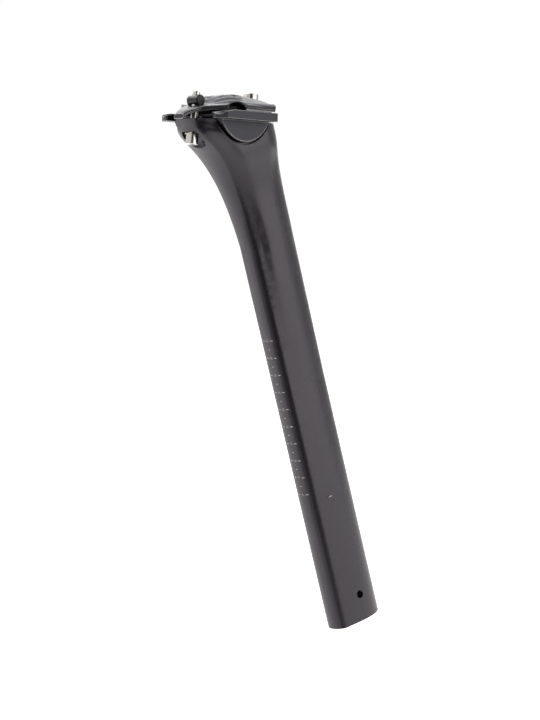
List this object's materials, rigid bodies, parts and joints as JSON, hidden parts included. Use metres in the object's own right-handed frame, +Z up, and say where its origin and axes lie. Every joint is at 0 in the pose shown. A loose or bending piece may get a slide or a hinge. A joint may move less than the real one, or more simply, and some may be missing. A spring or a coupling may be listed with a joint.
{
  "type": "bicycle seatpost",
  "caption": "Aero seatpost with a deep rounded shaft, flared head and a two-bolt saddle clamp that tilts in a round trough.",
  "frame": {"origin": "middle of the shaft's open lower end", "axes": "+Z up the shaft, +X towards the round nose (forward), +Y to the left"},
  "size_m": [0.0607, 0.0526, 0.3164],
  "materials": {
    "carbon": "satin moulded carbon",
    "clamp_alloy": "grey anodised",
    "bolt_steel": "bright",
    "nut_steel": "dark"
  },
  "bodies": {
    "post": {"post": "carbon"},
    "clamp": {"lower_cradle": "clamp_alloy", "upper_clamp": "clamp_alloy"},
    "rear_bolt": {"rear_bolt": "bolt_steel", "rear_washer": "bolt_steel"},
    "rear_nut": {"rear_nut": "nut_steel"},
    "front_bolt": {"front_bolt": "bolt_steel", "front_washer": "bolt_steel"},
    "front_nut": {"front_nut": "nut_steel"}
  },
  "joints": [
    {"name": "saddle_tilt", "type": "hinge", "parent": "post", "child": "clamp", "pos_m": [-0.01073, 0, 0.30204], "axis": [0, 1, 0], "range_deg": [-2, 8]},
    {"name": "rear_bolt_swing", "type": "hinge", "parent": "post", "child": "rear_bolt", "pos_m": [-0.03796, 0, 0.29032], "axis": [0, 1, 0], "range_deg": [-0.177, 0.556]},
    {"name": "rear_nut_swing", "type": "hinge", "parent": "clamp", "child": "rear_nut", "pos_m": [-0.02822, 0, 0.31093], "axis": [0, 1, 0], "range_deg": [-7.54, 1.92]},
    {"name": "front_nut_swing", "type": "hinge", "parent": "post", "child": "front_nut", "pos_m": [0.0039, 0, 0.27753], "axis": [0, 1, 0], "range_deg": [-0.64, 2.4]},
    {"name": "front_bolt_swing", "type": "hinge", "parent": "clamp", "child": "front_bolt", "pos_m": [0.01269, 0, 0.30264], "axis": [0, 1, 0], "range_deg": [-5.7, 1.46]}
  ],
  "couplings": [
    {"joint": "rear_bolt_swing", "follows": "saddle_tilt", "ratio": 0.0633},
    {"joint": "rear_nut_swing", "follows": "saddle_tilt", "ratio": -0.9367},
    {"joint": "front_nut_swing", "follows": "saddle_tilt", "ratio": 0.2941},
    {"joint": "front_bolt_swing", "follows": "saddle_tilt", "ratio": -0.7059}
  ]
}
